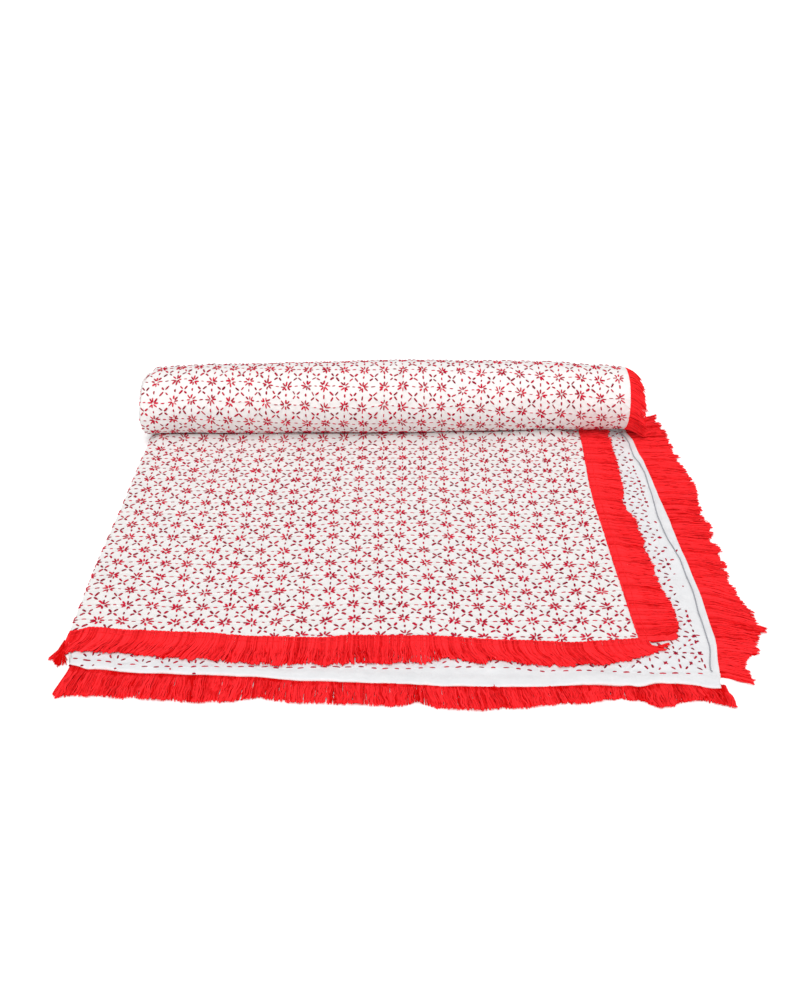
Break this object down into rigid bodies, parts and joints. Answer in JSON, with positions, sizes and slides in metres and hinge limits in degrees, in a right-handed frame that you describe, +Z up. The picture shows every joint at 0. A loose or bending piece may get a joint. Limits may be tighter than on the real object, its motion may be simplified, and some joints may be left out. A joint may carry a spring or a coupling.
{
  "type": "rolled kantha quilt",
  "caption": "White cotton kantha quilt with a red running-stitch star lattice and a red brush fringe, folded in half and part rolled, resting flat.",
  "frame": {"origin": "on the flat underside of the lower layer, midway across the flat part and a little in front of its middle", "axes": "+X along the roll from the folded end to the fringed end, +Y from the front edge to the roll, +Z up"},
  "size_m": [0.7404, 0.6349, 0.103],
  "materials": {
    "stitched_cotton": "soft matt white cotton, puckered by red hand running stitches",
    "red_fringe": "bright red cotton brush fringe, soft twisted yarns"
  },
  "bodies": {
    "root": {"quilt": "stitched_cotton", "front_fringe_upper": "red_fringe", "front_fringe_lower": "red_fringe", "side_fringe_upper": "red_fringe", "side_fringe_lower": "red_fringe", "roll_end_fringe": "red_fringe"}
  },
  "joints": []
}
